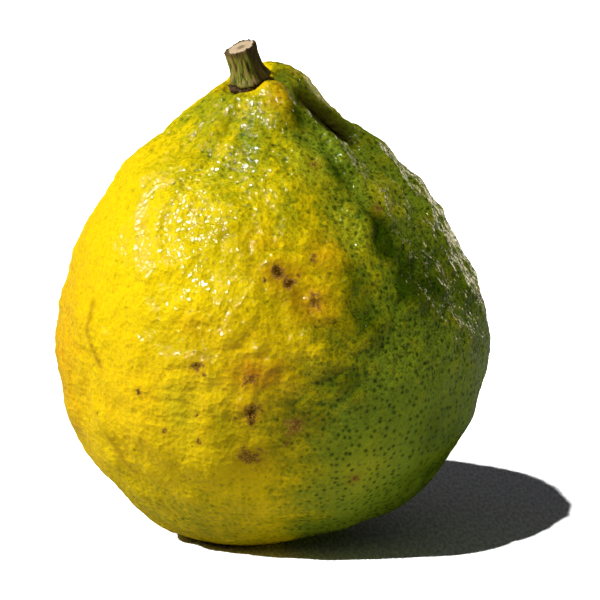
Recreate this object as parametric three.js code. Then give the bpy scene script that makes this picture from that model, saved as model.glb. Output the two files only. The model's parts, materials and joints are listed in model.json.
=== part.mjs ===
// A whole citron, picked with the stub of its stem, standing on the worn spot at its blossom end.
// The pieces are the fruit itself, the calyx that sits in the hollow of its nose, and the stem.
// Units are millimetres, +Z is up and the origin is the centre of the resting spot.
// An azimuth is counted in degrees from the front (-Y) towards the right (+X).

import * as THREE from "three";
import { mergeVertices } from "three/addons/utils/BufferGeometryUtils.js";

// ---- Driving dimensions -------------------------------------------------------------------

const FOOT_RADIUS = 12; // of the flat resting spot
const HOLLOW_HEIGHT = 106; // of the floor of the hollow in the nose, before the nose tips over
const HOLLOW_RADIUS = 6.2;
const RIM_RADIUS = 8; // of the rim round the hollow, which stands above its floor
const RIM_HEIGHT = 107.4;

// Radius and height up the side, from just above the foot to just below the rim of the hollow.
const SIDE = [
  [17.5, 1.8],
  [28.8, 8],
  [40.3, 18],
  [47.8, 32],
  [49.7, 47],
  [47.8, 60],
  [41.4, 74],
  [32.6, 86],
  [24.4, 94],
  [17.6, 100],
  [12.2, 104.8],
];

const BODY_OFFSET = 5.3; // the body's axis stands this far to the right of the resting spot's centre
const OFFSET_REACH = 11; // height over which the body swings out to that axis
const NECK_SHIFT = 3; // and comes back this far to the left at the neck
const NECK_FROM = 50;
const NECK_TO = 100;
const TIP_START = 82; // above this height the nose tips over, more and more
const TIP = THREE.MathUtils.degToRad(21);
const TIP_TOWARDS = new THREE.Vector3(-0.64, -0.77, 0).normalize(); // forward and to the left

// The swellings and hollows that make the fruit uneven. Each has its middle at an azimuth and a
// height, and fades out over the two distances given, round the fruit and up and down it.
const SWELLINGS = [
  { azimuth: 60, height: 99, round: 2.5, along: 6, lift: -5 }, // furrow beside the nose
  { azimuth: 43, height: 98, round: 4, along: 9, lift: 1.5 }, // crest in front of the furrow
  { azimuth: 47, height: 84, round: 6, along: 9, lift: 0.9 }, // and on down the shoulder
  { azimuth: 60, height: 76, round: 8, along: 18, lift: -1.2 }, // valley behind that crest
  { azimuth: 78, height: 72, round: 7, along: 20, lift: 1.2 }, // second crest, at the right
  { azimuth: 92, height: 100, round: 8, along: 7, lift: -1.8 }, // flatter right side of the neck
  { azimuth: 132, height: 104, round: 6, along: 4, lift: 1 }, // hump behind the stem
  { azimuth: 22, height: 103, round: 5, along: 4, lift: 1.4 }, // lobe below the stem
  { azimuth: -85, height: 100, round: 12, along: 12, lift: 1 }, // left shoulder
  { azimuth: -150, height: 96, round: 3, along: 8, lift: -1.8 }, // shallow furrow at the back
  { azimuth: 165, height: 60, round: 22, along: 20, lift: 0.9 }, // fuller back
  { azimuth: -130, height: 48, round: 16, along: 22, lift: -1 }, // long dip, back left
  { azimuth: -58, height: 38, round: 9, along: 18, lift: -0.7 }, // long dip, front left
  { azimuth: 75, height: 1, round: 12, along: 3, lift: -1.5 }, // underside, higher on the right
  { azimuth: 78, height: 11, round: 16, along: 6, lift: 1.5 }, // and fuller above that
  { azimuth: -75, height: 6, round: 14, along: 5, lift: 0.8 }, // fuller low on the left
];

const GRID = 32; // cells along each side of the cube that the skin is stretched from
const NOSE_DETAIL = 0.4; // how much finer than the belly's the cells are at the nose

const CALYX_RADIUS = 5;
const CALYX_THICKNESS = 1.2;
const CALYX_LOBES = 5;
const STEM_RADIUS = 3.6;
const STEM_FLARE = 1.2; // the foot of the stem is this much wider
const STEM_LENGTH = 8.3;
const STEM_RIBS = 9;
const STEM_CUT = THREE.MathUtils.degToRad(6); // slant of the cut face
const GAP = 0.3; // between neighbouring pieces

// ---- The fruit ----------------------------------------------------------------------------

// Half of the fruit's upright section, from the centre of the foot to the centre of the hollow.
function section() {
  const path = new THREE.Path();
  path.moveTo(0, 0);
  path.lineTo(FOOT_RADIUS, 0);
  path.splineThru([...SIDE, [RIM_RADIUS, RIM_HEIGHT]].map(([r, z]) => new THREE.Vector2(r, z)));
  path.lineTo(HOLLOW_RADIUS, HOLLOW_HEIGHT);
  path.lineTo(0, HOLLOW_HEIGHT);
  return path;
}

const SECTION = section();

// How far the swellings lift the skin at an azimuth, radius and height. The floor of the hollow
// and the foot stay flat.
function lift(azimuth, radius, height) {
  let total = 0;
  for (const swelling of SWELLINGS) {
    const turn = Math.abs(((azimuth - swelling.azimuth + 540) % 360) - 180);
    const round = (THREE.MathUtils.degToRad(turn) * radius) / swelling.round;
    const along = (height - swelling.height) / swelling.along;
    total += swelling.lift * Math.exp(-(round * round) - along * along);
  }
  return total * THREE.MathUtils.smoothstep(radius, HOLLOW_RADIUS, RIM_RADIUS);
}

// How far a height lies on the way from where the nose starts to tip to the hollow, from 0 up.
function tipped(height) {
  return Math.max(0, height - TIP_START) / (HOLLOW_HEIGHT - TIP_START);
}

// Where the fruit's axis runs at a height.
function axisPoint(height) {
  const swing = 1 - Math.exp(-Math.max(0, height) / OFFSET_REACH);
  const back = THREE.MathUtils.smoothstep(height, NECK_FROM, NECK_TO);
  const shift = (TIP * (HOLLOW_HEIGHT - TIP_START) * tipped(height) ** 3) / 3;
  const upright = new THREE.Vector3(BODY_OFFSET * swing - NECK_SHIFT * back, 0, height);
  return upright.addScaledVector(TIP_TOWARDS, shift);
}

// How the level slice of the fruit at a height is turned.
function tilt(height) {
  const axis = new THREE.Vector3(0, 0, 1).cross(TIP_TOWARDS);
  return new THREE.Quaternion().setFromAxisAngle(axis, TIP * tipped(height) ** 2);
}

// The point of the skin at a share of the section's length and an azimuth in degrees.
function skinPoint(share, azimuth) {
  const at = SECTION.getPointAt(share);
  const along = SECTION.getTangentAt(share);
  const out = at.x > FOOT_RADIUS || at.y > 0 ? lift(azimuth, at.x, at.y) : 0;
  const radius = at.x + along.y * out;
  const height = at.y - along.x * out;
  const turn = THREE.MathUtils.degToRad(azimuth);
  const spoke = new THREE.Vector3(radius * Math.sin(turn), -radius * Math.cos(turn), 0);
  return axisPoint(height).add(spoke.applyQuaternion(tilt(height)));
}

// A cube's grid, wrapped round the fruit: the squares on the cube's bottom and top become rings
// round the foot and the nose, and the rows up its sides become rings round the body.
function skin() {
  const box = new THREE.BoxGeometry(2, 2, 2, GRID, GRID, GRID);
  box.deleteAttribute("normal");
  box.deleteAttribute("uv");
  const geometry = mergeVertices(box);
  const position = geometry.getAttribute("position");
  for (let i = 0; i < position.count; i += 1) {
    const x = position.getX(i);
    const y = position.getY(i);
    const ring = Math.max(Math.abs(x), Math.abs(y));
    const up = 0.5 + position.getZ(i) * (0.5 - ring / 4);
    const share = up + NOSE_DETAIL * up * (1 - up);
    position.setXYZ(i, ...skinPoint(share, squareAzimuth(x, y)).toArray());
  }
  return geometry;
}

// The azimuth of a point on a square's outline, at even steps along each side.
function squareAzimuth(x, y) {
  if (Math.abs(y) >= Math.abs(x)) {
    const sideways = y === 0 ? 0 : (45 * x) / Math.abs(y);
    return y <= 0 ? sideways : 180 - sideways;
  }
  const sideways = (45 * y) / Math.abs(x);
  return x > 0 ? 90 + sideways : -90 - sideways;
}

// ---- The calyx and the stem, upright on the floor of the hollow ---------------------------

// Moves each of a geometry's points by a rule that is told the point and its azimuth.
function reshape(geometry, change) {
  const position = geometry.getAttribute("position");
  for (let i = 0; i < position.count; i += 1) {
    const point = new THREE.Vector3().fromBufferAttribute(position, i);
    change(point, Math.atan2(point.x, -point.y));
    position.setXYZ(i, point.x, point.y, point.z);
  }
  return geometry;
}

// A low, thin-edged button. Its edge is drawn in between the lobes and curls up at their tips.
function calyx() {
  const outline = new THREE.Path();
  outline.moveTo(0, 0);
  outline.lineTo(CALYX_RADIUS - 0.4, 0);
  outline.quadraticCurveTo(CALYX_RADIUS, 0, CALYX_RADIUS, 0.4);
  outline.quadraticCurveTo(CALYX_RADIUS - 1, CALYX_THICKNESS, CALYX_RADIUS - 2, CALYX_THICKNESS);
  outline.lineTo(0, CALYX_THICKNESS);
  const body = new THREE.LatheGeometry(outline.getPoints(4), CALYX_LOBES * 8).rotateX(Math.PI / 2);
  return reshape(body, (point, azimuth) => {
    const edge = Math.hypot(point.x, point.y) / CALYX_RADIUS;
    const lobe = Math.cos(CALYX_LOBES * azimuth) + 0.4 * Math.sin(2 * azimuth);
    point.multiply(new THREE.Vector3(1 + 0.06 * edge * lobe, 1 + 0.06 * edge * lobe, 1));
  });
}

// A ribbed stub that widens at its foot and ends in a slanted cut.
function stem() {
  const body = new THREE.CylinderGeometry(STEM_RADIUS, STEM_RADIUS, STEM_LENGTH, STEM_RIBS * 6, 8);
  body.rotateX(Math.PI / 2).translate(0, 0, STEM_LENGTH / 2);
  return reshape(body, (point, azimuth) => {
    const up = point.z / STEM_LENGTH;
    const out = Math.hypot(point.x, point.y) / STEM_RADIUS;
    const waist = (STEM_FLARE / STEM_RADIUS) * (1 - up) ** 3;
    const rib = 0.05 * Math.cos(STEM_RIBS * azimuth) * out;
    point.x *= 1 + waist + rib;
    point.y *= 1 + waist + rib;
    point.z += up * Math.tan(STEM_CUT) * point.x;
  });
}

// ---- The object ---------------------------------------------------------------------------

function piece(name, geometry, color, roughness) {
  const material = new THREE.MeshStandardMaterial({ color, roughness, metalness: 0 });
  const mesh = new THREE.Mesh(geometry, material);
  mesh.name = name;
  return mesh;
}

const calyxPiece = piece("calyx", calyx(), 0x5a4226, 0.85);
calyxPiece.position.z = GAP;

const stemPiece = piece("stem", stem(), 0x7d7638, 0.75);
stemPiece.position.z = GAP + CALYX_THICKNESS + GAP;

const nose = new THREE.Group();
nose.position.copy(axisPoint(HOLLOW_HEIGHT));
nose.quaternion.copy(tilt(HOLLOW_HEIGHT));
nose.add(calyxPiece, stemPiece);

const citron = new THREE.Group();
citron.add(piece("fruit", skin(), 0xd9bd1c, 0.42), nose);

export default citron;
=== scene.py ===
"""The looks of a whole citron: its rind, dry calyx and cut stem, and the stage it stands on."""

import json
import math
from functools import partial

import bpy
import numpy as np
from bpy.props import FloatProperty, FloatVectorProperty, PointerProperty
from mathutils import Matrix, Vector, kdtree, noise
from mathutils.bvhtree import BVHTree

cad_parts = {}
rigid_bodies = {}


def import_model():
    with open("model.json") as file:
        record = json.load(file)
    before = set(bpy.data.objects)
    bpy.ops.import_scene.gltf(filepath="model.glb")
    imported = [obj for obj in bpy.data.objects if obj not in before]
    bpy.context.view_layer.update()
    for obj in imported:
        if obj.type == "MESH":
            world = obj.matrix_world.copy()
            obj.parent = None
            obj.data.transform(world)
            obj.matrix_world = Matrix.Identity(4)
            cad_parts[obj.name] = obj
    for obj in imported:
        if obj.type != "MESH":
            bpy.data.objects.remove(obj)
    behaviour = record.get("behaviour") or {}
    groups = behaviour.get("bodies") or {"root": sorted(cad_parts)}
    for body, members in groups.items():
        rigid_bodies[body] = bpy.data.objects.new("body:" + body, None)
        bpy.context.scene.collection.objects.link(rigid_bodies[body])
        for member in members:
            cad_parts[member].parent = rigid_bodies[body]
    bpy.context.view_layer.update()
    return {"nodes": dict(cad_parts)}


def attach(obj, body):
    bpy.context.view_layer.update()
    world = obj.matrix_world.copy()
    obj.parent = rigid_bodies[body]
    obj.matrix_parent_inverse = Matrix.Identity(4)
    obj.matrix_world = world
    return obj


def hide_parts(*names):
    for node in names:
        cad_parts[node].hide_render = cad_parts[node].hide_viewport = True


bl_info = {
    "name": "Citron",
    "version": (1, 0, 0),
    "blender": (4, 5, 0),
    "location": "View3D > Sidebar > Citron",
    "description": "Grows the rind, the calyx and the stem of a citron over its packed frame",
    "category": "Add Mesh",
}

MM = 0.001
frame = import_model()


# ---- Colours and small tools ------------------------------------------------------------------


def linear(hex_colour):
    """Turns an sRGB hex colour into the linear one that sockets take."""
    value = hex_colour.lstrip("#")
    channels = []
    for i in (0, 2, 4):
        c = int(value[i : i + 2], 16) / 255
        channels.append(c / 12.92 if c <= 0.04045 else ((c + 0.055) / 1.055) ** 2.4)
    return (*channels, 1.0)


def smoothstep(value, low, high):
    """0 below low, 1 above high, and an S between them."""
    t = np.clip((value - low) / (high - low), 0, 1)
    return t * t * (3 - 2 * t)


def bell(distance, width):
    """1 at no distance, fading out over the width."""
    return np.exp(-((distance / width) ** 2))


def ripple(points, size, octaves=1, seed=0.0):
    """Smooth noise of about -1 to 1 at each point, its swells about size across."""
    shift = Vector((seed, 3.7 * seed, -2.3 * seed))
    return np.array(
        [noise.fractal(Vector(p) + shift, 1.0, 2.0, octaves) for p in (points / size).tolist()]
    )


def deselect():
    """Leaves nothing selected, in object mode."""
    if bpy.context.mode != "OBJECT":
        bpy.ops.object.mode_set(mode="OBJECT")
    bpy.ops.object.select_all(action="DESELECT")


def make_active(piece):
    """Selects one object and nothing else."""
    deselect()
    piece.select_set(True)
    bpy.context.view_layer.objects.active = piece


def apply_modifier(piece, kind, **settings):
    """Adds a modifier with its settings and applies it."""
    make_active(piece)
    modifier = piece.modifiers.new(kind.title(), kind)
    for key, value in settings.items():
        setattr(modifier, key, value)
    bpy.ops.object.modifier_apply(modifier=modifier.name)


def points_of(mesh):
    """A mesh's points in millimetres."""
    flat = np.empty(len(mesh.vertices) * 3)
    mesh.vertices.foreach_get("co", flat)
    return flat.reshape(-1, 3) / MM


def normals_of(mesh):
    """The directions a mesh's points face."""
    flat = np.empty(len(mesh.vertices) * 3)
    mesh.vertex_normals.foreach_get("vector", flat)
    return flat.reshape(-1, 3)


def set_points(mesh, points):
    """Moves a mesh's points to places in millimetres."""
    mesh.vertices.foreach_set("co", (points * MM).ravel())
    mesh.update()


def set_attribute(mesh, name, values):
    """Stores one number, or one vector, for each point."""
    kind, field = ("FLOAT", "value") if values.ndim == 1 else ("FLOAT_VECTOR", "vector")
    layer = mesh.attributes.new(name, kind, "POINT")
    layer.data.foreach_set(field, values.astype(np.float32).ravel())


# Settings that many nodes share.
MATH = "ShaderNodeMath"
ADD = {"operation": "ADD"}
ADD_CLAMPED = {"operation": "ADD", "use_clamp": True}
SUBTRACT = {"operation": "SUBTRACT"}
MULTIPLY = {"operation": "MULTIPLY"}
MULTIPLY_ADD = {"operation": "MULTIPLY_ADD"}
LARGER = {"operation": "MAXIMUM"}
BELOW = {"operation": "LESS_THAN"}
SMOOTH = {"interpolation_type": "SMOOTHSTEP"}
RGBA = {"data_type": "RGBA"}


def add_node(tree, kind, settings=None, **links):
    """Adds a node. A link is a socket to join to an input, or a value to set on it."""
    node = tree.nodes.new(kind)
    for key, value in (settings or {}).items():
        setattr(node, key, value)
    for key, value in links.items():
        place = int(key[1:]) if key[0] == "i" and key[1:].isdigit() else key.replace("_", " ")
        socket = node.inputs[place]
        if isinstance(value, bpy.types.NodeSocket):
            tree.links.new(value, socket)
        else:
            socket.default_value = value
    return node


def new_material(name):
    """A material with an empty node tree and its output."""
    material = bpy.data.materials.new(name)
    material.use_nodes = True
    material.node_tree.nodes.clear()
    output = material.node_tree.nodes.new("ShaderNodeOutputMaterial")
    return material, material.node_tree, output


# ---- Where things are on the fruit ------------------------------------------------------------

BODY_AXIS = 5.3  # mm that the body's upright axis stands to the right of the origin
OUTSIDE = 120  # mm from that axis, past the skin on every side
LINE_STEP = 0.4  # mm between the points of a line on the skin
HOLLOW_RADIUS = 6.2  # mm, of the hollow in the nose


def cad_points(name):
    """A CAD node's points in millimetres."""
    return points_of(frame["nodes"][name].data)


def nose_frame():
    """The matrix of the hollow in the nose: its origin under the calyx, its Z along the stem."""
    calyx = cad_points("calyx")
    centre = calyx.mean(axis=0)
    _, vectors = np.linalg.eigh(np.cov((calyx - centre).T))
    axis = Vector(vectors[:, 0])
    if axis.z < 0:
        axis.negate()
    side = Vector((1, 0, 0))
    side = (side - axis * side.dot(axis)).normalized()
    back = axis.cross(side)
    base = min((Vector(p) - Vector(centre)).dot(axis) for p in calyx.tolist())
    turn = Matrix((side, back, axis)).transposed().to_4x4()
    return Matrix.Translation(Vector(centre) + axis * base) @ turn


NOSE = nose_frame()


def moved_by(matrix, points):
    """Points moved and turned by a matrix."""
    matrix = np.array(matrix)
    return points @ matrix[:3, :3].T + matrix[:3, 3]


def in_nose(points):
    """Points seen from the nose: X to the right, Y to the back, Z along the stem."""
    return moved_by(NOSE.inverted(), points)


class Surface:
    """The plain rind, on which places are given by azimuth and height."""

    def __init__(self, mesh):
        self.points = points_of(mesh)
        self.normals = normals_of(mesh)
        self.turn = np.degrees(np.arctan2(self.points[:, 0] - BODY_AXIS, -self.points[:, 1]))
        self.height = self.points[:, 2]
        faces = [tuple(face.vertices) for face in mesh.polygons]
        self.tree = BVHTree.FromPolygons([Vector(p) for p in self.points.tolist()], faces)

    def spot(self, azimuth, height):
        """The place on the skin at an azimuth in degrees and a height in millimetres."""
        a = math.radians(azimuth)
        out = Vector((math.sin(a), -math.cos(a), 0))
        start = Vector((BODY_AXIS, 0, height))
        hit = self.tree.ray_cast(start + out * OUTSIDE, -out)[0]
        return hit if hit is not None else start

    def distance(self, path):
        """How far each point is from a line through places on the skin."""
        corners = [self.spot(*place) for place in path]
        line = []
        for a, b in zip(corners, corners[1:]):
            steps = max(2, int((b - a).length / LINE_STEP))
            line += [a.lerp(b, i / steps) for i in range(steps)]
        line.append(corners[-1])
        tree = kdtree.KDTree(len(line))
        for i, place in enumerate(line):
            tree.insert(place, i)
        tree.balance()
        return np.array([tree.find(p)[2] for p in self.points.tolist()])

    def near(self, azimuth, height):
        """How far each point is from one place on the skin."""
        return np.linalg.norm(self.points - np.array(self.spot(azimuth, height)), axis=1)

    def patch(self, azimuth, height, round_deg, along):
        """1 at a place, fading out over degrees round the fruit and millimetres up it."""
        turn = (self.turn - azimuth + 180) % 360 - 180
        return bell(turn, round_deg) * bell(self.height - height, along)


# ---- The rind ---------------------------------------------------------------------------------

# Folds of the neck: the places a fold runs through (azimuth, height), its width and its lift.
FOLDS = (
    (((47, 103), (50, 101), (51, 97), (54, 92.5), (57, 88), (62, 83)), 1.0, 0.75),
    (((62, 83), (66, 77), (67, 71), (68, 66)), 1.4, 0.45),
    (((55, 104.5), (60, 102), (63, 99.7), (64, 97.9), (64, 96), (62, 94)), 1.6, -2.6),
    (((62, 94), (64, 90), (67, 85), (70, 80)), 1.5, -0.5),
    (((84, 107), (80, 103), (78, 99), (75, 95), (73, 91), (72, 85), (72, 79)), 1.0, 0.7),
    (((72, 79), (72, 73), (71, 66), (73, 60), (76, 54)), 1.2, 0.45),
    (((88, 98), (84, 92), (80, 85), (79, 77), (78, 68), (80, 60)), 0.8, -0.5),
    (((96, 96), (90, 88), (87, 78), (85, 68)), 0.9, 0.35),
    (((33, 98.5), (32.5, 92.5), (33, 88), (36, 84), (41, 78)), 1.5, -0.9),
    (((-12, 100), (-14, 92), (-13, 84)), 2.6, -0.5),
    (((6, 101), (4, 93), (3, 86)), 2.2, 0.35),
    (((-36, 100), (-38, 92), (-36, 86)), 2.4, -0.35),
    (((-18, 73.5), (-9, 72.5), (1, 72.5)), 1.6, 0.45),
    (((-50, 89), (-52, 82), (-48, 77), (-43, 70), (-37, 67)), 1.3, 0.7),
    (((-38, 86), (-41, 80), (-38, 75), (-32, 70.5), (-25, 69)), 1.2, 0.6),
    (((-31, 84), (-33, 79), (-30, 75), (-23, 73)), 1.1, 0.5),
    (((-61, 46), (-56, 38), (-51, 30), (-48, 22), (-45, 14)), 0.9, 0.35),
    (((-56, 44), (-51, 36), (-46, 28), (-43, 21), (-41, 14)), 0.9, -0.3),
    (((-66, 40), (-60, 31), (-55, 23), (-51, 15)), 1.2, 0.3),
    (((-48, 33), (-41, 26), (-37, 18)), 0.8, 0.22),
    (((41, 64), (43, 57), (44, 45), (45, 33), (44, 22)), 1.1, 0.4),
    (((46.5, 60), (48, 45), (49, 33)), 1.2, -0.35),
)

# Lobes of the rim round the stem, in millimetres right of and behind its middle: width and lift.
RIM_LOBES = (
    (5.5, -6.5, 3.2, 1.7),
    (-6.5, -4.5, 3.0, 0.4),
    (-1, -7.5, 3.0, 0.8),
    (2, 8.5, 3.5, 0.6),
    (-6, 6.5, 3.0, -0.5),
)

# The deep furrow beside the nose, which gets painted shade.
SHADED_FURROW_PATH = ((56, 103.5), (60, 102), (63, 99.7), (64, 97.9), (63, 96))

# Dents between the lumps: azimuth, height, radius and lift.
DENTS = (
    (25, 77, 3.4, -0.9),
    (31, 71, 2.6, -0.7),
    (39, 75, 3.2, -0.9),
    (38, 62, 3.4, -0.7),
    (49, 67, 3.6, -0.8),
    (50, 74, 3.4, -1.0),
    (14, 80, 2.4, -0.5),
    (47, 82, 2.6, -0.6),
    (20, 66, 2.2, -0.5),
    (-6, 78, 2.6, -0.4),
    (150, 70, 4, -0.8),
    (-120, 80, 4, -0.7),
)

# Healed rubs and scabs: azimuth, height, radius and how dark each is.
SCABS = (
    (1.5, 69.8, 1.2, 0.95),
    (5, 67.6, 1.35, 0.95),
    (-19, 49.5, 1.1, 0.8),
    (-5, 47, 1.0, 0.7),
    (-5, 39.4, 1.5, 0.85),
    (6, 36, 2.2, 0.45),
    (-5.5, 28.7, 2.2, 0.6),
    (12, 63, 1.6, 0.5),
    (13, 73, 0.9, 0.6),
    (21, 91, 0.8, 0.5),
    (42, 81.5, 1.0, 0.5),
    (50, 80.5, 1.3, 0.25),
    (25, 22.7, 0.9, 0.7),
    (-36, 42.5, 0.35, 1.2),
    (-20, 32, 0.35, 1.2),
    (-37, 31.4, 0.3, 1.0),
    (-29, 34, 0.3, 1.0),
    (-20, 38, 0.3, 0.9),
    (140, 48, 2.4, 0.7),
    (-140, 62, 1.8, 0.7),
    (100, 30, 1.4, 0.6),
    (-100, 35, 1.2, 0.6),
)

# Thin russet scratches: the places each runs through, its width and its depth of colour.
SCRATCHES = (
    (((-57.5, 60), (-56, 56.5), (-57, 53.5), (-54, 49.5), (-52, 46.5)), 0.8, 0.95),
    (((-51, 30), (-49.5, 26.5), (-48, 22)), 1.1, 0.8),
    (((118, 62), (121, 55), (119, 47)), 1.0, 0.8),
)

# Amber patches on the ripe side: azimuth, height, degrees round, millimetres up, strength.
AMBER = (
    (8, 104.5, 13, 2.5, 0.75),
    (12, 102, 10, 3, 0.45),
    (-30, 106.5, 30, 1.2, 0.6),
    (-75, 107, 18, 1.5, 0.7),
    (-120, 106, 30, 3, 0.5),
    (-3, 48, 9, 5, 1.1),
    (-3, 76, 8, 3, 0.4),
    (17, 72, 6, 5, 0.6),
    (-21, 58, 7, 4, 0.5),
    (11, 63, 8, 5, 0.85),
    (3, 69, 8, 4, 0.7),
    (-8, 41, 7, 5, 0.4),
    (-76, 46, 22, 28, 0.8),
    (-42, 40, 34, 20, 0.42),
    (-8, 54, 22, 10, 0.35),
    (-140, 50, 20, 12, 0.4),
)

# Where the wax is thickest and glints most, given like the amber patches.
WAX = (
    (-27, 80, 11, 7, 1.0),
    (-25, 90, 9, 4, 1.0),
    (-52, 84, 6, 5, 0.9),
    (-50, 76, 5, 5, 0.7),
    (-6, 89.5, 6, 9, 0.8),
    (-15, 67.5, 12, 4.5, 0.8),
    (-31, 74.5, 8, 4, 0.8),
    (-42, 73, 5, 7, 0.8),
    (24, 77, 6, 5, 0.6),
    (-16, 99, 12, 5, 0.35),
    (-6, 73, 6, 4, 0.8),
    (-6, 48, 24, 10, 0.6),
    (75, 70, 30, 40, 0.7),
)

# Where the green side begins, in degrees of azimuth, at heights up the fruit. Its other edge is
# at the back.
GREEN_HEIGHTS = (0, 35, 50, 62, 78, 88, 96, 104)
GREEN_EDGE = (10, 4, 8, 21, 24, 16, 0, -10)
BACK_EDGE = (150, 190)

# Greener stretches of the ripe side, the neck and the back: azimuth, height, degrees round,
# millimetres up, strength, how much of it is even and how much comes in streaks.
GREEN_STRETCHES = (
    (-8, 97, 50, 13, 0.75, 0.5, 0.8),
    (-72, 104, 60, 10, 0.75, 0.7, 0.6),
    (-32, 96, 28, 6, 0.45, 0.7, 0.5),
    (10, 82, 24, 14, 0.4, 0.4, 1.1),
    (-30, 11, 50, 11, 0.36, 0.4, 1.1),
    (170, 100, 60, 14, 0.5, 0.5, 0.8),
    (-160, 38, 36, 30, 0.5, 0.2, 1.4),
)

# Darker (+) and paler (-) stretches of the rind, given like the amber patches. Some are the rind's
# own tone; others are painted shade, under the lobe beside the stem, in and beside the furrow and
# low on the right side turned from the light, and painted light on ridges that face the light.
TONE_AND_PAINTED_LIGHT = (
    (-16, 77, 10, 6, 0.35),
    (-24, 53, 12, 6, 0.25),
    (-13, 34, 6, 7, 0.7),
    (-38, 98, 16, 9, 0.25),
    (6, 58, 14, 6, 0.3),
    (12, 80, 9, 6, 0.2),
    (3, 66, 6, 5, 0.35),
    (3, 44, 8, 7, 0.6),
    (10, 38, 6, 5, 0.4),
    (20, 47, 5, 4, 0.5),
    (2, 33, 8, 6, 0.3),
    (25, 57, 9, 5, 0.6),
    (42, 64, 5, 5, 1.0),
    (31.5, 89, 4, 5, 0.8),
    (6, 99.5, 7, 3, 0.6),
    (44, 84, 5, 4, -0.9),
    (52, 31, 8, 7, 0.5),
    (20, 101, 8, 3, 1.1),
    (40, 103, 7, 3, 0.8),
    (66, 100, 10, 5, 1.2),
    (52, 67, 11, 10, 0.9),
    (39, 76, 6, 6, 1.4),
    (70, 60, 8, 14, 0.5),
    (68, 27, 12, 11, 0.3),
    (66, 16, 16, 9, 0.7),
    (-5, 6, 25, 5, 0.2),
    (26, 24, 12, 7, -0.6),
    (19, 91, 6, 4, -1.0),
    (13, 90, 5, 4, -0.4),
    (26, 78, 5, 4, -1.0),
    (22, 68, 6, 6, 0.5),
    (24, 64, 5, 4, 0.4),
    (19, 43, 6, 6, 0.5),
    (-24, 89, 7, 5, -0.5),
    (-23, 39, 6, 9, -0.4),
    (53, 82, 6, 5, -0.6),
    (18, 40, 4, 3, -0.4),
)


class RindSettings(bpy.types.PropertyGroup):
    """Sizes and colours of the rind."""

    lump_height: FloatProperty(
        name="Lump height",
        description="How far the lumps of the rind stand up",
        default=1.2 * MM,
        min=0,
        max=4 * MM,
        unit="LENGTH",
        subtype="DISTANCE",
    )
    lump_size: FloatProperty(
        name="Lump size",
        description="How far apart the lumps are",
        default=5.5 * MM,
        min=1 * MM,
        max=20 * MM,
        unit="LENGTH",
        subtype="DISTANCE",
    )
    gland_spacing: FloatProperty(
        name="Gland spacing",
        description="How far apart the oil glands are",
        default=1.6 * MM,
        min=0.5 * MM,
        max=5 * MM,
        unit="LENGTH",
        subtype="DISTANCE",
    )
    ripe: FloatVectorProperty(
        name="Ripe",
        description="Colour of the ripe side",
        subtype="COLOR",
        size=4,
        default=linear("#f2d30b"),
    )
    turning: FloatVectorProperty(
        name="Turning",
        description="Colour where the yellow turns green",
        subtype="COLOR",
        size=4,
        default=linear("#bdb20c"),
    )
    green: FloatVectorProperty(
        name="Green",
        description="Colour of the green side",
        subtype="COLOR",
        size=4,
        default=linear("#7a8e1e"),
    )
    amber: FloatVectorProperty(
        name="Amber",
        description="Colour of the ripest patches",
        subtype="COLOR",
        size=4,
        default=linear("#dc9612"),
    )


def plain_rind():
    """A smooth, fine-meshed copy of the CAD fruit."""
    make_active(frame["nodes"]["fruit"])
    bpy.ops.object.duplicate()
    rind = bpy.context.view_layer.objects.active
    rind.name = rind.data.name = "rind"
    rind.data.materials.clear()
    make_active(rind)
    bpy.ops.object.mode_set(mode="EDIT")
    bpy.ops.mesh.select_all(action="SELECT")
    bpy.ops.mesh.remove_doubles(threshold=0.002 * MM)
    bpy.ops.mesh.tris_convert_to_quads(face_threshold=math.pi, shape_threshold=math.pi)
    bpy.ops.object.mode_set(mode="OBJECT")
    # The CAD's own attributes aren't kept, only what makes up the mesh.
    for layer in list(rind.data.attributes):
        if not layer.is_required and not layer.name.startswith("."):
            rind.data.attributes.remove(layer)
    apply_modifier(rind, "SUBSURF", levels=2, render_levels=2)
    bpy.ops.object.shade_smooth()
    return rind


def bumpiness(skin):
    """How lumpy each part of the rind is: most at the front and on the right shoulder, least low
    on the green side, at the upper left and on the neck."""
    low_green = skin.patch(40, 32, 45, 22)
    middle = smoothstep(skin.height, 22, 55)
    upper_left = skin.patch(-50, 75, 40, 30)
    neck = smoothstep(skin.height, 92, 104)
    right = skin.patch(42, 68, 26, 20)
    front = skin.patch(-2, 55, 32, 20)
    rougher = 0.65 * front + 0.45 * middle + 0.8 * right
    smoother = 0.25 * upper_left + 0.3 * low_green + 0.3 * neck
    return np.clip(0.3 + rougher - smoother, 0.1, 1.4)


def lumps(skin, size):
    """Rounded lumps with creases between them, about zero on the whole."""
    warp = np.stack([ripple(skin.points, 6, seed=s) for s in (31, 57, 83)], axis=1)
    bent = skin.points + 1.6 * warp
    coarse = np.abs(ripple(bent, size, seed=2)) - 0.2
    fine = np.abs(ripple(bent, size * 0.48, seed=5)) - 0.2
    return coarse + 0.5 * fine


# Swells of the whole rind: how far across, octaves, seed and height, in millimetres.
SWELLS = ((17, 2, 11, 0.9), (8.5, 1, 13, 0.75))


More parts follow.
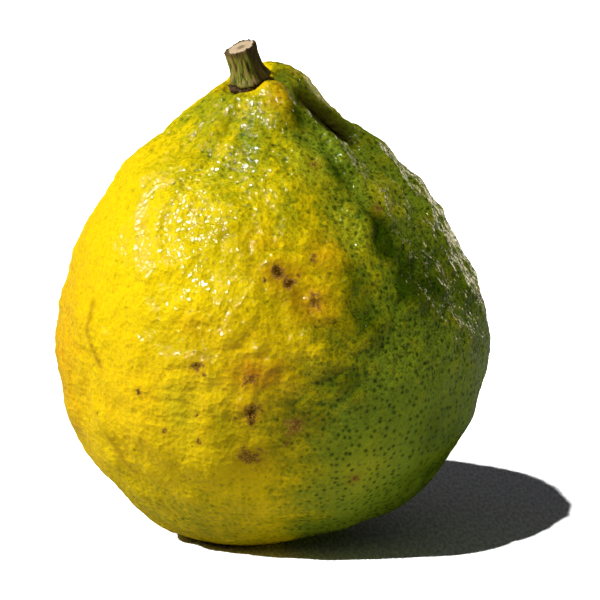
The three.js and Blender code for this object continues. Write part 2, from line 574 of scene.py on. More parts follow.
def relief(skin, settings):
    """How far each point of the rind stands out from the plain fruit, in millimetres."""
    lumpiness = bumpiness(skin)
    heights = np.zeros(len(skin.points))
    for size, octaves, seed, height in SWELLS:
        heights += height * ripple(skin.points, size, octaves, seed)
    heights += 0.16 * ripple(skin.points, 2.1, seed=17) * (0.4 + lumpiness)
    heights += settings.lump_height / MM * lumpiness * lumps(skin, settings.lump_size / MM)
    turn = np.radians(skin.turn)
    wheel = np.stack([3.2 * np.sin(turn), 3.2 * np.cos(turn), skin.height / 60], axis=1)
    neck = smoothstep(skin.height, 66, 92) * (1 - 0.6 * smoothstep(skin.height, 98, 106))
    heights += 1.1 * neck * ripple(wheel, 1, octaves=2, seed=19)
    for path, width, lift in FOLDS:
        heights += lift * bell(skin.distance(path), width)
    for azimuth, height, radius, lift in DENTS:
        heights += lift * bell(skin.near(azimuth, height), radius)
    for azimuth, height, radius, _ in SCABS:
        heights -= 0.18 * bell(skin.near(azimuth, height), radius)
    wrinkles = ripple(skin.points * np.array([0.35, 0.35, 1.0]), 1.6, seed=23)
    heights += 0.1 * wrinkles * (1 - smoothstep(skin.height, 12, 34))
    return heights


def greenness(skin):
    """0 on the ripe side, 1 on the green side."""
    edge = np.interp(skin.height, GREEN_HEIGHTS, GREEN_EDGE)
    wobble = 9 * ripple(skin.points, 13, octaves=3, seed=41)
    spread = 17 + 8 * smoothstep(skin.height, 80, 100)
    front = smoothstep(skin.turn + wobble, edge - spread, edge + spread)
    turn = skin.turn % 360
    back = smoothstep(turn + wobble, *BACK_EDGE) * (turn < 300)
    green = np.where(skin.turn > -90, front, 0) * (1 - back)
    green = np.where(turn < 180, np.maximum(green, (1 - back) * (turn > 60)), green)
    meridians = np.stack([skin.turn / 9, skin.height / 26, np.zeros_like(turn)], axis=1)
    streak = 0.5 + 0.5 * ripple(meridians, 1, octaves=2, seed=7)
    for azimuth, height, round_deg, along, strength, even, streaky in GREEN_STRETCHES:
        stretch = strength * skin.patch(azimuth, height, round_deg, along)
        green = np.maximum(green, stretch * (even + streaky * streak))
    golden = np.clip(sum_of_patches(skin, AMBER), 0, 1)
    golden = np.maximum(golden, 0.6 * skin.patch(115, 107, 60, 8))
    return np.clip(green * (1 - 0.8 * golden), 0, 1)


def sum_of_patches(skin, patches):
    """The strongest of several soft patches at each point."""
    total = np.zeros(len(skin.points))
    for azimuth, height, round_deg, along, strength in patches:
        total = np.maximum(total, strength * skin.patch(azimuth, height, round_deg, along))
    return total


def tone_and_painted_light(skin):
    """How much darker (above 0) or paler (below 0) than its neighbours each point is: partly the
    rind's own tone, partly painted shade and painted light.
    """
    total = np.zeros(len(skin.points))
    for azimuth, height, round_deg, along, strength in TONE_AND_PAINTED_LIGHT:
        total += strength * skin.patch(azimuth, height, round_deg, along)
    ragged = 1 + 0.5 * ripple(skin.points, 5, octaves=3, seed=91)
    return np.clip(total * ragged, -1, 1)


def scabs(skin):
    """How brown each point is."""
    ragged = 1 + 0.9 * ripple(skin.points, 1.7, octaves=2, seed=61)
    total = np.zeros(len(skin.points))
    for azimuth, height, radius, depth in SCABS:
        total = np.maximum(total, depth * bell(skin.near(azimuth, height) * ragged, radius))
    return total


def stains(skin):
    """How russet each point is, round the scabs and along the scratches."""
    ragged = 1 + 0.4 * ripple(skin.points, 3, octaves=2, seed=67)
    total = np.zeros(len(skin.points))
    for azimuth, height, radius, depth in SCABS:
        spread = bell(skin.near(azimuth, height) * ragged, 2.2 * radius)
        total = np.maximum(total, 0.9 * depth * spread)
    for path, width, depth in SCRATCHES:
        total = np.maximum(total, depth * bell(skin.distance(path) * ragged, width))
    return total


def hug_calyx(points):
    """Draws the rim of the hollow in against the calyx, and raises the lobes round it."""
    local = in_nose(points)
    radius = np.linalg.norm(local[:, :2], axis=1)
    outside = smoothstep(radius, HOLLOW_RADIUS - 0.4, HOLLOW_RADIUS + 1.4) * (local[:, 2] > -6)
    for right, back, width, lift in RIM_LOBES:
        spot = np.hypot(local[:, 0] - right, local[:, 1] - back)
        local[:, 2] += lift * bell(spot, width) * outside
    rim = bell(radius - HOLLOW_RADIUS - 0.7, 1.3) * smoothstep(local[:, 2], -0.2, 1.0)
    scale = 1 - 0.9 * rim / np.maximum(radius, 0.1)
    drawn_in = local * np.stack([scale, scale, np.ones_like(scale)], axis=1)
    return moved_by(NOSE, drawn_in)


def rind_values(skin, settings):
    """What the rind's material has to know at each point, by name."""
    green = greenness(skin)
    lumpiness = bumpiness(skin)
    hollow = 0.5 - np.clip(0.5 + 1.2 * lumps(skin, settings.lump_size / MM) * lumpiness, 0, 1)
    shade = tone_and_painted_light(skin)
    # The skin is finer low down on both sides, and at the back.
    finer = np.maximum(skin.patch(48, 26, 42, 22), 0.8 * skin.patch(-42, 30, 34, 26))
    finer = np.maximum(finer, skin.patch(-170, 50, 55, 45))
    turn = np.radians(skin.turn)
    return {
        # The hollows between the lumps are greener.
        "green": green + 0.35 * hollow,
        # The colour is most mottled where it is on the turn.
        "swing": 3 * green * (1 - green) + 0.22,
        "amber": sum_of_patches(skin, AMBER),
        "scab": scabs(skin),
        "stain": stains(skin),
        # Darker and paler stretches: partly the rind's own tone, partly painted shade and painted
        # light.
        "darker": np.maximum(shade, 0),
        "paler": np.maximum(-shade, 0),
        # Painted shade along the deep furrow beside the nose, where the skin is also rough and has
        # no wax.
        "furrow": 1.1 * bell(skin.distance(SHADED_FURROW_PATH), 3.2),
        "wax": 0.3 + 0.7 * sum_of_patches(skin, WAX),
        "coarse": np.clip(0.55 + 0.45 * lumpiness - 0.3 * finer, 0.3, 1),
        "fibrous": np.maximum(skin.patch(78, 78, 22, 34), 0.7 * skin.patch(47, 40, 6, 24)),
        # Millimetres round the fruit, and up it at four tenths, so that noise runs in fibres.
        "meridian": np.stack([30 * np.sin(turn), 30 * np.cos(turn), 0.4 * skin.height], axis=1),
    }


def make_rind(settings):
    """The rind: the CAD fruit's shape with its lumps, folds, dents and marks."""
    rind = plain_rind()
    skin = Surface(rind.data)
    heights = relief(skin, settings)
    # The foot stays flat, and the floor of the hollow as it is.
    above_foot = smoothstep(skin.height, 0.2, 5)
    local = in_nose(skin.points)
    radius = np.linalg.norm(local[:, :2], axis=1)
    in_hollow = 1 - smoothstep(radius, HOLLOW_RADIUS, HOLLOW_RADIUS + 2.3)
    out_of_hollow = 1 - in_hollow * (local[:, 2] > -4)
    moved = skin.points + skin.normals * (heights * above_foot * out_of_hollow)[:, None]
    moved = hug_calyx(moved)
    moved[:, 2] = np.maximum(moved[:, 2], 0)
    set_points(rind.data, moved)
    for name, values in rind_values(skin, settings).items():
        set_attribute(rind.data, name, values)
    rind.data.materials.append(citron_rind(settings))
    return rind


# What the rind's material reads at each point, besides the way its fibres run.
RIND_VALUES = "green swing amber darker paler stain scab furrow wax coarse fibrous".split()

# The noises of the rind: size in millimetres, octaves and roughness.
RIND_NOISES = {
    "patches": (4.5, 3, 0.6),
    "mottle": (1.1, 2, 0.6),
    "ripeness": (2.4, 3, 0.6),
    "grain": (0.5, 3, 0.6),
    "freckles": (9, 1, 0.6),
    "crust": (0.6, 4, 0.8),
    "flecks": (0.45, 1, 0.6),
    "wax": (0.6, 0, 0.6),
}
PIT_SPACING = 1.1 * MM
SPECK_SPACING = 4.2 * MM


def citron_rind(settings):
    """Citron rind, waxy and full of oil glands: small hard glints from the skin between the
    glands, a colour that runs from yellow to green, and darker dots where the glands are."""
    material, tree, output = new_material("citron_rind")
    add = partial(add_node, tree)
    place = add("ShaderNodeTexCoord").outputs["Object"]
    own = {}
    for name in RIND_VALUES:
        own[name] = add("ShaderNodeAttribute", {"attribute_name": name}).outputs["Fac"]
    noises = {}
    for name, (size, detail, rough) in RIND_NOISES.items():
        scale = 1 / (size * MM)
        texture = add(
            "ShaderNodeTexNoise", Vector=place, Scale=scale, Detail=detail, Roughness=rough
        )
        noises[name] = texture.outputs["Fac"]
    cells = {}
    for name, apart, uneven in (
        ("glands", settings.gland_spacing, 0.75),
        ("pits", PIT_SPACING, 1.0),
        ("specks", SPECK_SPACING, 1.0),
    ):
        texture = add("ShaderNodeTexVoronoi", Vector=place, Scale=1 / apart, Randomness=uneven)
        cells[name] = texture.outputs["Distance"]

    # From ripe to green, mottled 4 mm and 1 mm across.
    mottle = add(MATH, MULTIPLY_ADD, i0=noises["mottle"], i1=1.1, i2=noises["patches"]).outputs[0]
    mottle = add(MATH, SUBTRACT, i0=mottle, i1=1.05).outputs[0]
    green = add(MATH, MULTIPLY_ADD, i0=mottle, i1=own["swing"], i2=own["green"]).outputs[0]
    ramp = add("ShaderNodeValToRGB", Fac=green)
    stops = ramp.color_ramp.elements
    stops[0].position, stops[0].color = 0.08, settings.ripe
    stops[1].position, stops[1].color = 1.0, settings.green
    stops.new(0.5).color = settings.turning
    colour = ramp.outputs["Color"]

    # Amber, russet and scabs are broken up by a noise, with its gain and its offset.
    broken = {}
    for name, noise_name, gain, offset in (
        ("amber", "ripeness", 1.6, -0.1),
        ("stain", "grain", 1.44, -0.16),
        ("scab", "crust", 5.0, -1.55),
    ):
        ragged = add(MATH, MULTIPLY_ADD, i0=noises[noise_name], i1=gain, i2=offset).outputs[0]
        broken[name] = add(MATH, MULTIPLY, i0=ragged, i1=own[name]).outputs[0]

    # Oil glands: dots 0.5 mm across that show dark through the green rind.
    dots = add("ShaderNodeMapRange", SMOOTH, Value=cells["glands"], From_Min=0.48, From_Max=0.12)
    shown = add("ShaderNodeMapRange", Value=green, From_Min=-0.2, From_Max=1.23).outputs[0]
    dots = add(MATH, MULTIPLY, i0=dots.outputs[0], i1=shown).outputs[0]

    # Between the glands the skin has fine pits, with a grain of half a millimetre on it. The mask
    # named worn follows the low parts of the grain and of the pits, which get painted shade, most
    # of all on the green side.
    worn = add(MATH, MULTIPLY_ADD, i0=cells["pits"], i1=0.2, i2=noises["grain"]).outputs[0]
    depth = add("ShaderNodeMapRange", Value=worn, From_Min=0.64, From_Max=0.42).outputs[0]
    marked = add(MATH, MULTIPLY_ADD, i0=green, i1=0.6, i2=0.3).outputs[0]
    marked = add(MATH, MULTIPLY, i0=marked, i1=own["coarse"]).outputs[0]
    painted_pit_shade = add(MATH, MULTIPLY, i0=depth, i1=marked).outputs[0]

    # Pin specks, a third of a millimetre across, more in some places than in others.
    limit = add(MATH, MULTIPLY_ADD, i0=noises["freckles"], i1=0.16, i2=-0.02).outputs[0]
    specks = add(MATH, BELOW, i0=cells["specks"], i1=limit).outputs[0]
    specks = add(MATH, MULTIPLY, i0=specks, i1=0.55).outputs[0]

    # Scabs: a dark crust with tan flecks, paler towards its edge.
    scab = add("ShaderNodeMapRange", SMOOTH, Value=broken["scab"], From_Min=0.1, From_Max=0.4)
    scab = scab.outputs[0]
    pale = add("ShaderNodeMapRange", Value=own["scab"], From_Min=0.736, From_Max=0.0, To_Max=0.92)
    flecks = add("ShaderNodeMapRange", Value=noises["flecks"], From_Min=0.54, From_Max=0.68)
    flecks = add(MATH, ADD, i0=flecks.outputs[0], i1=pale.outputs[0]).outputs[0]
    tan = linear("#a97b38")
    crust = add("ShaderNodeMix", RGBA, i0=flecks, i6=linear("#301708"), i7=tan).outputs[2]
    crusted = add(MATH, MULTIPLY, i0=scab, i1=0.88).outputs[0]

    # Each layer of colour lies on the ones before it. The furrow beside the nose gets painted
    # shade, a dark olive.
    for factor, over, blend in (
        (broken["amber"], tuple(settings.amber), "MIX"),
        # Darker and paler stretches: the rind's own tone, with painted shade and painted light
        # among them.
        (own["darker"], linear("#7c8f5c"), "MULTIPLY"),
        (own["paler"], linear("#b9b91c"), "MIX"),
        (broken["stain"], linear("#8f5510"), "MIX"),
        (dots, linear("#2f4608"), "MIX"),
        # Painted shade in the pits and the low parts of the grain.
        (painted_pit_shade, linear("#8f7448"), "MULTIPLY"),
        (specks, linear("#5a4208"), "MIX"),
        # Painted shade in the furrow beside the nose.
        (own["furrow"], linear("#36330a"), "MIX"),
        (crusted, crust, "MIX"),
    ):
        blending = {**RGBA, "blend_type": blend}
        colour = add("ShaderNodeMix", blending, i0=factor, i6=colour, i7=over).outputs[2]

    # Fibres that run down the right side, half a millimetre apart.
    meridian = add("ShaderNodeAttribute", {"attribute_name": "meridian"}).outputs["Vector"]
    fibres = add("ShaderNodeTexNoise", Vector=meridian, Scale=1 / 0.6, Roughness=0.6)
    fibres = add(MATH, MULTIPLY, i0=fibres.outputs["Fac"], i1=own["fibrous"]).outputs[0]
    bowls = add(MATH, MULTIPLY, i0=cells["pits"], i1=cells["pits"]).outputs[0]
    bowls = add(MATH, MULTIPLY, i0=bowls, i1=own["coarse"]).outputs[0]
    # The wax lies smoother than the skin under it, so it takes its own bumps. Each relief has a
    # height, a depth in millimetres and the relief that it lies on.
    reliefs = {}
    for name, height, relief_depth, under in (
        ("fibres", fibres, 0.65, None),
        ("glands", cells["glands"], 0.19, "fibres"),
        ("wax bowls", bowls, 0.3, "glands"),
        ("wax", noises["wax"], 0.09, "wax bowls"),
        ("skin bowls", bowls, 0.32, "glands"),
        ("skin", noises["grain"], 0.17, "skin bowls"),
    ):
        bump = add("ShaderNodeBump", Height=height, Strength=1.0, Distance=relief_depth * MM)
        if under:
            tree.links.new(reliefs[under], bump.inputs["Normal"])
        reliefs[name] = bump.outputs["Normal"]

    # Scabs and the furrow are rough, and have no wax on them.
    dry = add(MATH, MULTIPLY_ADD, i0=own["furrow"], i1=0.9, i2=scab).outputs[0]
    waxed = add(MATH, {**SUBTRACT, "use_clamp": True}, i0=own["wax"], i1=dry).outputs[0]
    shader = add(
        "ShaderNodeBsdfPrincipled",
        Base_Color=colour,
        Roughness=add(MATH, MULTIPLY_ADD, i0=dry, i1=0.4, i2=0.45).outputs[0],
        IOR=1.45,
        Specular_IOR_Level=0.0,
        Normal=reliefs["skin"],
        Coat_Weight=waxed,
        Coat_Roughness=0.05,
        Coat_IOR=1.4,
        Coat_Normal=reliefs["wax"],
    )
    tree.links.new(shader.outputs["BSDF"], output.inputs["Surface"])
    return material


# ---- The stem and the calyx -------------------------------------------------------------------


def rings(name, segments, profile):
    """Extrudes a disc through rings of a height and a radius, and closes the last one."""
    deselect()
    height, radius = profile[0]
    bpy.ops.mesh.primitive_circle_add(
        vertices=segments, radius=radius * MM, fill_type="NGON", location=(0, 0, height * MM)
    )
    piece = bpy.context.view_layer.objects.active
    piece.name = piece.data.name = name
    bpy.ops.object.transform_apply(location=True, rotation=True, scale=True)
    bpy.ops.object.mode_set(mode="EDIT")
    bpy.ops.mesh.select_all(action="SELECT")
    bpy.ops.mesh.flip_normals()
    for next_height, next_radius in profile[1:]:
        step = (next_height - height) * MM
        bpy.ops.mesh.extrude_region_move(TRANSFORM_OT_translate={"value": (0, 0, step)})
        scale = next_radius / radius
        centre = (0, 0, next_height * MM)
        bpy.ops.transform.resize(value=(scale, scale, 1), center_override=centre)
        height, radius = next_height, next_radius
    bpy.ops.mesh.select_all(action="SELECT")
    bpy.ops.mesh.normals_make_consistent(inside=False)
    bpy.ops.object.mode_set(mode="OBJECT")
    return piece


def stand_in_nose(piece, points):
    """Puts a piece that was shaped upright at the origin into its place in the nose."""
    set_points(piece.data, moved_by(NOSE, points))


def span_in_nose(name):
    """The lowest and highest a CAD node reaches along the stem."""
    along = in_nose(cad_points(name))[:, 2]
    return float(along.min()), float(along.max())


class CalyxSettings(bpy.types.PropertyGroup):
    """Sizes and colours of the calyx."""

    radius: FloatProperty(
        name="Radius",
        description="Radius of the dry calyx",
        default=5.0 * MM,
        unit="LENGTH",
        subtype="DISTANCE",
    )
    colour: FloatVectorProperty(
        name="Colour",
        description="Colour of the dry sepals",
        subtype="COLOR",
        size=4,
        # A dry-sepal brown, made darker as painted shade for the gap round the foot of the stem.
        default=linear("#4c3617"),
    )


class StemSettings(bpy.types.PropertyGroup):
    """Sizes and colours of the stem."""

    radius: FloatProperty(
        name="Radius",
        description="Radius of the stem at its waist",
        default=3.6 * MM,
        unit="LENGTH",
        subtype="DISTANCE",
    )
    bark: FloatVectorProperty(
        name="Bark",
        description="Colour of the young bark",
        subtype="COLOR",
        size=4,
        default=linear("#888c26"),
    )
    wood: FloatVectorProperty(
        name="Wood",
        description="Colour of the cut wood",
        subtype="COLOR",
        size=4,
        default=linear("#f2dcb8"),
    )


def make_calyx(settings):
    """The calyx: a dry, ragged collar of five sepals, with nubs of bud scales on its edge."""
    radius = settings.radius / MM
    low, _ = span_in_nose("calyx")
    profile = [(low, 0.6 * radius), (low, 0.9 * radius), (low + 0.25, radius)]
    profile += [(low + 0.8, 1.02 * radius), (low + 1.25, 0.96 * radius)]
    profile += [(low + 1.35, 0.8 * radius), (low + 1.3, 0.5 * radius)]
    calyx = rings("calyx_sepals", 60, profile)
    apply_modifier(calyx, "SUBSURF", levels=2, render_levels=2)
    points = points_of(calyx.data)
    turn = np.arctan2(points[:, 0], -points[:, 1])
    edge = np.linalg.norm(points[:, :2], axis=1) / radius
    lobe = np.cos(5 * turn) + 0.5 * np.sin(2 * turn + 1)
    ragged = ripple(points, 1.1, octaves=3, seed=71)
    out = 1 + edge * (0.05 * lobe + 0.09 * ragged)
    points[:, 0] *= out
    points[:, 1] *= out
    lift = smoothstep(edge, 0.55, 1.0) * (0.25 * lobe + 0.35 * ragged)
    points[:, 2] = np.maximum(points[:, 2] + lift * (points[:, 2] > low + 0.3), low)
    stand_in_nose(calyx, points)
    set_attribute(calyx.data, "edge", np.clip(edge, 0, 1.3))
    make_active(calyx)
    bpy.ops.object.shade_smooth()
    calyx.data.materials.append(dry_sepal(settings))
    return calyx


STEM_SLANT = math.radians(6)  # of the cut
SLANT_RISE = 0.35  # mm that the slant lifts the high side of the cut above its middle


def make_stem(settings):
    """The stem: a fluted stub, flared where it grows from the calyx and cut across at the top."""
    radius = settings.radius / MM
    low, high = span_in_nose("stem")
    top = high - SLANT_RISE
    span = top - low
    profile = [(low, radius), (low, radius + 1.0), (low + 0.35, radius + 1.25)]
    sides = ((0.12, 0.85), (0.2, 0.5), (0.32, 0.22), (0.46, 0.05), (0.6, 0), (0.75, 0))
    profile += [(low + share * span, radius + extra) for share, extra in sides]
    profile += [(low + 0.88 * span, radius + 0.05), (top - 0.25, radius + 0.2)]
    profile += [(top, radius + 0.12), (top + 0.02, radius - 0.15), (top - 0.12, radius - 0.4)]
    for inner in (0.78, 0.62, 0.48, 0.34, 0.22, 0.1):
        profile.append((top - 0.15, inner * radius))
    stem = rings("stem_stub", 72, profile)
    apply_modifier(stem, "SUBSURF", levels=2, render_levels=2)
    points = points_of(stem.data)
    turn = np.arctan2(points[:, 0], -points[:, 1])
    out = np.linalg.norm(points[:, :2], axis=1)
    up = np.clip((points[:, 2] - low) / span, 0, 1)
    bark = smoothstep(out, radius - 0.7, radius - 0.1)
    wheel = np.stack([np.sin(turn) * 2.3, np.cos(turn) * 2.3, up * 0.5], axis=1)
    flutes = np.abs(ripple(wheel, 1.7, seed=3)) + 0.4 * np.abs(ripple(wheel, 0.7, seed=8)) - 0.5
    fibres = ripple(wheel * np.array([1, 1, 2.0]), 0.16, octaves=2, seed=15)
    groove = bell(ripple(wheel, 1.7, seed=3), 0.07)
    groove = np.maximum(groove, 0.7 * bell(ripple(wheel, 0.7, seed=8), 0.06)) * bark
    change = 1.1 * flutes + 0.12 * fibres - 0.3 * groove
    flare = (1 - up) ** 4 * (0.55 * np.cos(turn - 1.2) + 0.3 * ripple(wheel, 0.7, seed=21))
    grow = 1 + bark * (change + flare) / np.maximum(out, 0.3)
    shaped = points.copy()
    shaped[:, 0] *= grow
    shaped[:, 1] *= grow
    torn = ripple(points, 0.8, octaves=3, seed=33)
    rim = smoothstep(up, 0.93, 1.0)
    shaped[:, 2] += 0.3 * torn * rim * (0.3 + 0.7 * bark)
    shaped[:, 2] += 0.25 * torn * bell(up, 0.08)
    shaped[:, 2] += up * math.tan(STEM_SLANT) * shaped[:, 0]
    stand_in_nose(stem, shaped)
    torn_edge = out + 0.35 * ripple(points, 0.7, octaves=2, seed=44)
    values = {
        "grain": points,
        "cut": rim * (1 - smoothstep(torn_edge, radius - 0.8, radius - 0.45)),
        "pith": 0.75 * (1 - smoothstep(out, 0.5, 1.5)),
        "ends": 5 * np.abs(up - 0.47) - 2.15,
        # Painted shade in the grooves between the flutes.
        "groove": np.clip(0.8 * groove, 0, 1),
        # Painted shade on the right side of the stem, turned from the light.
        "aged": 0.85 * smoothstep(points[:, 0], 0.6, 3.2),
    }
    for name, value in values.items():
        set_attribute(stem.data, name, value)
    make_active(stem)
    bpy.ops.object.shade_smooth()
    stem.data.materials.append(cut_stem(settings))
    return stem


def dry_sepal(settings):
    """Dry plant tissue, brown and fibrous: no gloss, paler where its torn edge has worn."""
    material, tree, output = new_material("dry_sepal")
    place = add_node(tree, "ShaderNodeTexCoord").outputs["Object"]
    grain = add_node(tree, "ShaderNodeTexNoise", Vector=place, Scale=1 / (0.7 * MM), Detail=4.0)
    edge = add_node(tree, "ShaderNodeAttribute", {"attribute_name": "edge"}).outputs["Fac"]
    worn = add_node(tree, MATH, MULTIPLY, i0=edge, i1=grain.outputs["Fac"])
    ramp = add_node(tree, "ShaderNodeValToRGB", Fac=worn.outputs[0])
    stops = ramp.color_ramp.elements
    stops[0].position, stops[0].color = 0.25, linear("#2a1a0e")
    stops[1].position, stops[1].color = 0.8, linear("#a07c4e")
    stops.new(0.52).color = settings.colour
    bump = add_node(tree, "ShaderNodeBump", Height=grain.outputs["Fac"], Distance=0.3 * MM)
    shader = add_node(
        tree,
        "ShaderNodeBsdfPrincipled",
        Base_Color=ramp.outputs["Color"],
        Roughness=0.85,
        Specular_IOR_Level=0.25,
        Normal=bump.outputs["Normal"],
    )
    tree.links.new(shader.outputs["BSDF"], output.inputs["Surface"])
    return material


def cut_stem(settings):
    """Young citrus wood in its bark: green bark with tan fibres along it, browned at both ends,
    with painted shade in its grooves and on its right side, and a pale sawn face with a darker
    pith."""
    material, tree, output = new_material("cut_stem")
    add = partial(add_node, tree)
    own = {}
    for name in ("cut", "pith", "ends", "groove", "aged"):
        own[name] = add("ShaderNodeAttribute", {"attribute_name": name}).outputs["Fac"]
    # The grain is in millimetres. Bark fibres are under a millimetre wide and some millimetres
    # long, and the face is sawn across them.
    grain = add("ShaderNodeAttribute", {"attribute_name": "grain"}).outputs["Vector"]
    noises = {}
    for name, stretch, scale, detail in (
        ("fibres", (1, 1, 0.16), 1.3, 4),
        ("blotches", (1, 1, 1), 0.55, 3),
        ("saw", (1, 1, 0), 1.9, 4),
    ):
        stretched = add("ShaderNodeMapping", Vector=grain, Scale=stretch).outputs[0]
        texture = add("ShaderNodeTexNoise", Vector=stretched, Scale=scale, Detail=detail)
        noises[name] = texture.outputs["Fac"]
    ramp = add("ShaderNodeValToRGB", Fac=noises["fibres"])
    stops = ramp.color_ramp.elements
    stops[0].position, stops[0].color = 0.38, linear("#33300f")
    stops[1].position, stops[1].color = 0.62, linear("#a2854a")
    stops.new(0.5).color = settings.bark
    ends = add(MATH, ADD_CLAMPED, i0=noises["blotches"], i1=own["ends"]).outputs[0]
    ends = add(MATH, MULTIPLY, i0=ends, i1=0.85).outputs[0]
    pale, wood = linear("#c9a67a"), tuple(settings.wood)
    sawn = add("ShaderNodeMix", RGBA, i0=noises["saw"], i6=pale, i7=wood).outputs[2]
    pith = linear("#6e5836")
    sawn = add("ShaderNodeMix", RGBA, i0=own["pith"], i6=sawn, i7=pith).outputs[2]
    # Each layer of colour lies on the ones before it.
    colour = ramp.outputs["Color"]
    for factor, over in (
        (ends, linear("#573a22")),
        # Painted shade in the grooves.
        (own["groove"], linear("#2e2010")),
        # Painted shade on the stem's right side.
        (own["aged"], linear("#35270f")),
        (own["cut"], sawn),
    ):
        colour = add("ShaderNodeMix", RGBA, i0=factor, i6=colour, i7=over).outputs[2]
    height = add(MATH, MULTIPLY_ADD, i0=noises["saw"], i1=0.5, i2=noises["fibres"]).outputs[0]
    bump = add("ShaderNodeBump", Height=height, Distance=0.35 * MM)
    shader = add(
        "ShaderNodeBsdfPrincipled",
        Base_Color=colour,
        Roughness=0.72,
        Specular_IOR_Level=0.35,
        Normal=bump.outputs["Normal"],
    )
    tree.links.new(shader.outputs["BSDF"], output.inputs["Surface"])
    return material


# ---- The stage --------------------------------------------------------------------------------


class StageSettings(bpy.types.PropertyGroup):
    """Lights and floor."""

    key_strength: FloatProperty(
        name="Key light",
        description="Strength of the key light",
        default=2.2,
        min=0,
        max=10,
    )
    side_power: FloatProperty(
        name="Side light",
        description="Power of the soft light at the left",
        default=4.7,
        min=0,
        max=100,
        unit="POWER",
    )
    fill_power: FloatProperty(
        name="Fill light",
        description="Power of the low fill light at the right",
        default=1.6,
        min=0,
        max=100,
        unit="POWER",
    )
    ambient: FloatProperty(
        name="Ambient",
        description="Strength of the light from all round",
        default=0.003,
        min=0,
        max=1,
    )


MIDDLE = Vector((5 * MM, 0, 50 * MM))  # of the fruit, which the lamps are turned to
SUN_REACH = 1.5  # m; a sun's distance changes nothing but where it is drawn


def direction(azimuth, elevation):
    """The unit vector towards an azimuth and an elevation in degrees."""
    a, e = math.radians(azimuth), math.radians(elevation)
    return Vector((math.sin(a) * math.cos(e), -math.cos(a) * math.cos(e), math.sin(e)))


def add_lamp(kind, name, azimuth, elevation, reach, **data):
    """Adds a lamp at a direction and distance from the fruit's middle, turned to it."""
    deselect()
    away = direction(azimuth, elevation)
    bpy.ops.object.light_add(type=kind, location=MIDDLE + away * reach)
    lamp = bpy.context.view_layer.objects.active
    lamp.name = lamp.data.name = name
    lamp.rotation_euler = away.to_track_quat("Z", "Y").to_euler()
    lamp.visible_camera = False
    for key, value in data.items():
        setattr(lamp.data, key, value)
    return lamp


def seen_directly(tree):
    """1 for rays from the camera or through glass, less for rays by way of a gloss."""
    path = add_node(tree, "ShaderNodeLightPath").outputs
    gloss = add_node(tree, MATH, MULTIPLY, i0=path["Is Glossy Ray"], i1=0.04).outputs[0]
    seen = add_node(tree, MATH, LARGER, i0=path["Is Camera Ray"], i1=gloss).outputs[0]
    return add_node(tree, MATH, LARGER, i0=seen, i1=path["Is Transmission Ray"]).outputs[0]


def matt_paper():
    """A sweep of matt white paper. It throws back less light than it shows, so that the
    underside of the fruit stays in shade."""
    material, tree, output = new_material("matt_paper")
    add = partial(add_node, tree)
    place = add("ShaderNodeTexCoord").outputs["Object"]
    laid = add("ShaderNodeMapping", Vector=place, Scale=(1, 0.25, 1)).outputs[0]
    tooth = add("ShaderNodeTexNoise", Vector=laid, Scale=1 / (0.8 * MM), Detail=3).outputs["Fac"]
    white = add("ShaderNodeMapRange", Value=tooth, From_Min=0.3, From_Max=0.7, To_Min=0.6)
    shown = add("ShaderNodeBsdfDiffuse", Color=white.outputs[0], Roughness=0)
    gloss = add("ShaderNodeLightPath").outputs["Is Glossy Ray"]
    dull = add("ShaderNodeMapRange", Value=gloss, To_Min=0.12, To_Max=0.03).outputs[0]
    thrown = add("ShaderNodeBsdfDiffuse", Color=dull, Roughness=0).outputs[0]
    both = add("ShaderNodeMixShader", i0=seen_directly(tree), i1=thrown, i2=shown.outputs[0])
    tree.links.new(both.outputs[0], output.inputs["Surface"])
    return material


def make_world(settings):
    """A white wall all round to look at, under a dark ceiling, with little light of its own."""
    world = bpy.data.worlds.new("studio")
    world.use_nodes = True
    tree = world.node_tree
    tree.nodes.clear()
    add = partial(add_node, tree)
    dim = add("ShaderNodeBackground", Color=(1, 1, 1, 1), Strength=settings.ambient).outputs[0]
    aim = add("ShaderNodeTexCoord").outputs["Generated"]
    rise = add("ShaderNodeSeparateXYZ", Vector=aim).outputs["Z"]
    wall = add("ShaderNodeMapRange", SMOOTH, Value=rise, From_Min=0.45, From_Max=0.15, To_Min=0.1)
    white = add("ShaderNodeBackground", Color=(1, 1, 1, 1), Strength=wall.outputs[0]).outputs[0]
    both = add("ShaderNodeMixShader", i0=seen_directly(tree), i1=dim, i2=white)
    output = add("ShaderNodeOutputWorld")
    tree.links.new(both.outputs[0], output.inputs["Surface"])
    bpy.context.scene.world = world


def make_floor():
    """The floor: one wide sheet of paper."""
    deselect()
    bpy.ops.mesh.primitive_plane_add(size=8)
    floor = bpy.context.view_layer.objects.active
    floor.name = floor.data.name = "floor"
    floor.data.materials.append(matt_paper())
    floor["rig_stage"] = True


def make_camera():
    """The camera: level with the fruit's front, 10 degrees above the horizon, with a long lens."""
    sensor = 36
    width = 139.5 * MM
    reach = 0.8
    target = Vector((11.63 * MM, 0, 55.9 * MM))
    away = direction(0, 10)
    deselect()
    bpy.ops.object.camera_add(location=target + away * reach)
    camera = bpy.context.view_layer.objects.active
    camera.rotation_euler = away.to_track_quat("Z", "Y").to_euler()
    camera.data.sensor_width = sensor
    camera.data.lens = sensor * reach / width
    camera.data.clip_start = 0.05
    camera.data.clip_end = 20
    bpy.context.scene.camera = camera


# Suns for the floor alone, where they make one dark, sharp shadow: azimuth, elevation, strength,
# degrees across and colour.
FLOOR_LAMPS = {
    "floor_key": (-37, 56, 4.2, 1.2, (1, 1, 1)),
    "floor_side": (-50, 36, 10.0, 1.2, (1, 1, 1)),
    "floor_top": (0, 90, 0.17, 140, (0.97, 0.95, 1.12)),
}


def keep_to(lamp, pieces):
    """Lets a lamp light some pieces only."""
    lit = bpy.data.collections.new("lit_by_" + lamp.name)
    for piece in pieces:
        lit.objects.link(piece)
    lamp.light_linking.receiver_collection = lit


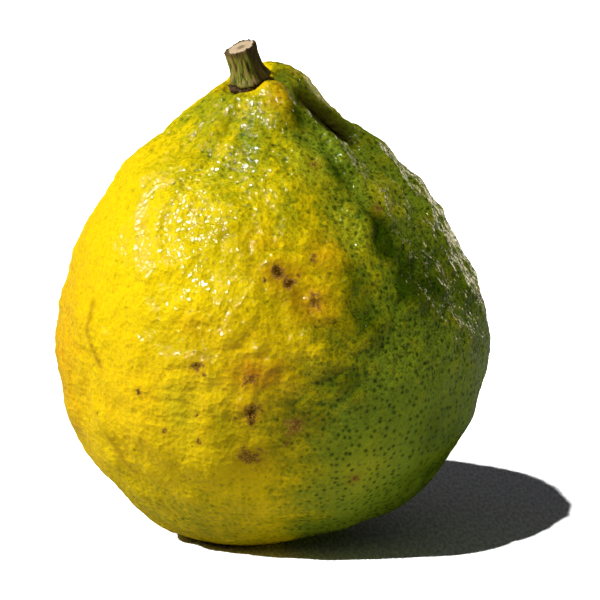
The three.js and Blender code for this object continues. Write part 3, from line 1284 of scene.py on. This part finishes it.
def make_lights(settings):
    """A small hard key light from the upper left, with a soft one low at the left and a low fill
    at the right that leave the floor alone. Gloss comes from lamps of its own."""
    stage = [o for o in bpy.data.objects if o.get("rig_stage")]
    fruit = [o for o in bpy.data.objects if o.type == "MESH" and o not in stage]
    key = add_lamp("SUN", "key", -37, 56, SUN_REACH, energy=settings.key_strength)
    key.data.angle = math.radians(1.2)
    side = add_lamp("AREA", "side", -78, 24, 0.8, shape="RECTANGLE", size=0.2, size_y=0.25)
    side.data.energy = settings.side_power
    keep_to(side, fruit)
    for name, (azimuth, elevation, strength, degrees, colour) in FLOOR_LAMPS.items():
        lamp = add_lamp("SUN", name, azimuth, elevation, SUN_REACH, energy=strength, color=colour)
        lamp.data.angle = math.radians(degrees)
        keep_to(lamp, stage)
    # What the wax reflects: a wide source, higher up at the left.
    glint = add_lamp("SUN", "glint", -67, 49, SUN_REACH, energy=5.0, angle=math.radians(14))
    fill = add_lamp("AREA", "fill", 48, 3, 0.9, shape="RECTANGLE", size=0.5, size_y=0.1)
    fill.data.energy = settings.fill_power
    keep_to(fill, fruit)
    # A card behind the right side, seen only as a sheen along that edge of the fruit.
    card = add_lamp("AREA", "card", 150, 10, 0.8, shape="RECTANGLE", size=0.34, size_y=0.28)
    card.data.energy = 1.2
    card.data.color = (1.0, 0.87, 0.62)
    for lamp in (key, side, fill):
        lamp.visible_glossy = False
    for lamp in (glint, card):
        lamp.visible_diffuse = False


# ---- Operators, panel and registration --------------------------------------------------------


class CITRON_OT_rind(bpy.types.Operator):
    """Grow the rind over the fruit"""

    bl_idname = "citron.rind"
    bl_label = "Rind"

    def execute(self, context):
        rind = make_rind(context.scene.citron_rind)
        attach(rind, "root")
        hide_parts("fruit")
        return {"FINISHED"}


class CITRON_OT_calyx(bpy.types.Operator):
    """Make the dry calyx in the hollow of the nose"""

    bl_idname = "citron.calyx"
    bl_label = "Calyx"

    def execute(self, context):
        calyx = make_calyx(context.scene.citron_calyx)
        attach(calyx, "root")
        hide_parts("calyx")
        return {"FINISHED"}


class CITRON_OT_stem(bpy.types.Operator):
    """Make the stub of the stem"""

    bl_idname = "citron.stem"
    bl_label = "Stem"

    def execute(self, context):
        stem = make_stem(context.scene.citron_stem)
        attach(stem, "root")
        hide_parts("stem")
        return {"FINISHED"}


class CITRON_OT_stage(bpy.types.Operator):
    """Set the floor, the lights, the surround and the camera"""

    bl_idname = "citron.stage"
    bl_label = "Stage"

    def execute(self, context):
        make_floor()
        make_lights(context.scene.citron_stage)
        make_world(context.scene.citron_stage)
        make_camera()
        context.scene.view_settings.view_transform = "Standard"
        return {"FINISHED"}


class CITRON_PT_panel(bpy.types.Panel):
    """The citron's settings and operators"""

    bl_label = "Citron"
    bl_idname = "CITRON_PT_panel"
    bl_space_type = "VIEW_3D"
    bl_region_type = "UI"
    bl_category = "Citron"

    def draw(self, context):
        parts = ("rind", "calyx", "stem", "stage")
        for part in parts:
            box = self.layout.box()
            settings = getattr(context.scene, "citron_" + part)
            for name in settings.__annotations__:
                box.prop(settings, name)
            box.operator("citron." + part)


SETTINGS = {
    "citron_rind": RindSettings,
    "citron_calyx": CalyxSettings,
    "citron_stem": StemSettings,
    "citron_stage": StageSettings,
}
CLASSES = (
    *SETTINGS.values(),
    CITRON_OT_rind,
    CITRON_OT_calyx,
    CITRON_OT_stem,
    CITRON_OT_stage,
    CITRON_PT_panel,
)


def register():
    for cls in CLASSES:
        bpy.utils.register_class(cls)
    for name, cls in SETTINGS.items():
        setattr(bpy.types.Scene, name, PointerProperty(type=cls))


def unregister():
    for name in SETTINGS:
        delattr(bpy.types.Scene, name)
    for cls in reversed(CLASSES):
        bpy.utils.unregister_class(cls)


def main():
    register()
    bpy.ops.citron.rind()
    bpy.ops.citron.calyx()
    bpy.ops.citron.stem()
    bpy.ops.citron.stage()


if __name__ == "__main__":
    main()
